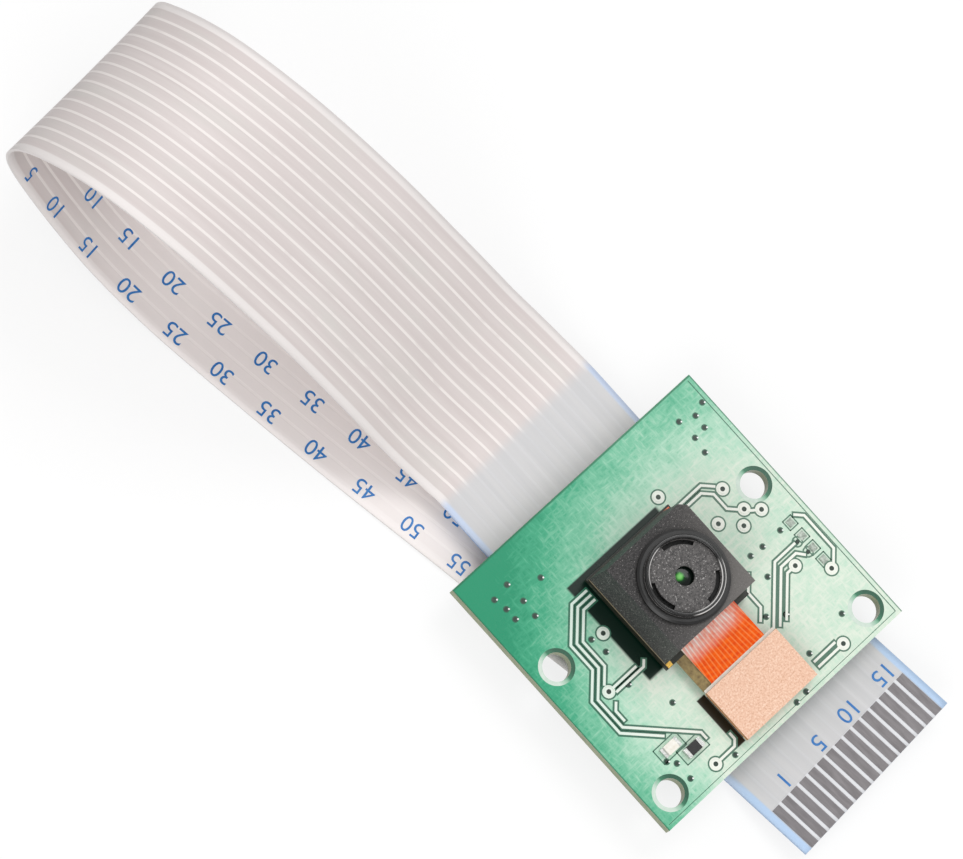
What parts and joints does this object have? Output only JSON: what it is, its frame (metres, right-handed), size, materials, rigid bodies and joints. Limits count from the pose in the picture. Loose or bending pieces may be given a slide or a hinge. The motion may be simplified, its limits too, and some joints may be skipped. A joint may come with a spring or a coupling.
{
  "type": "camera module",
  "caption": "Camera module: a small lens block on a four-hole circuit board with a sliding-latch connector and a looped flat ribbon cable.",
  "frame": {"origin": "centre of the four mounting holes, on the back face of the circuit board", "axes": "+Z from the back face out of the lens side; +X along the 25 mm width; +Y towards the edge where the ribbon cable is fitted"},
  "size_m": [0.0303, 0.0786, 0.0202],
  "materials": {
    "solder_mask": "satin green solder mask over copper",
    "covered_copper": "copper tracks under the green mask",
    "tinned_copper": "tinned metal, slightly dull",
    "foam": "black adhesive foam",
    "dark_laminate": "dark green laminate edge",
    "gold_plate": "gold-plated",
    "silicon": "dark silicon die",
    "filter_glass": "coated filter glass",
    "holder_plastic": "black plastic with a fine spark-eroded texture",
    "barrel_plastic": "glossy black plastic",
    "lens_resin": "clear moulded resin",
    "orange_film": "glossy orange polyimide film",
    "brown_film": "brown film edge",
    "white_tape": "white tape",
    "copper_plate": "grainy copper-tinted metal",
    "connector_black": "black moulded connector plastic",
    "lamp_body": "milky lamp body",
    "resistor_body": "dark glazed resistor body",
    "connector_ivory": "ivory moulded connector plastic",
    "latch_plastic": "black moulded latch plastic",
    "chip_epoxy": "black epoxy",
    "oscillator_can": "metal lid",
    "ceramic_body": "tan ceramic",
    "ribbon_film": "satin white polyester film with the conductors showing as fine lines",
    "blue_stiffener": "blue polyester stiffener",
    "cable_contact": "bare tinned conductor"
  },
  "bodies": {
    "board": {"circuit_board": "solder_mask", "front_traces": "covered_copper", "solder_lands": "tinned_copper", "foam_pad": "foam", "base_plate": "dark_laminate", "corner_land": "gold_plate", "image_sensor": "silicon", "infrared_filter": "filter_glass", "lens_holder": "holder_plastic", "lens_barrel": "barrel_plastic", "front_lens": "lens_resin", "middle_lens": "lens_resin", "rear_lens": "lens_resin", "camera_flex": "orange_film", "flex_edge_strip": "brown_film", "stiffener_tape": "white_tape", "stiffener_plate": "copper_plate", "plug_housing": "connector_black", "socket_housing": "connector_black", "socket_contacts": "gold_plate", "status_lamp": "lamp_body", "lamp_resistor": "resistor_body", "front_end_caps": "tinned_copper", "cable_socket": "connector_ivory", "cable_socket_pins": "gold_plate", "cable_socket_tabs": "tinned_copper", "regulators": "chip_epoxy", "regulator_leads": "tinned_copper", "oscillator": "oscillator_can", "bypass_capacitors": "ceramic_body", "back_end_caps": "tinned_copper", "ribbon_cable": "ribbon_film", "fitted_stiffener": "blue_stiffener", "fitted_contacts": "cable_contact", "free_stiffener": "blue_stiffener", "free_contacts": "cable_contact"},
    "latch": {"cable_latch": "latch_plastic"}
  },
  "joints": [
    {"name": "latch_slide", "type": "slide", "parent": "board", "child": "latch", "axis": [0, 1, 0], "range_m": [0, 0.001]}
  ]
}
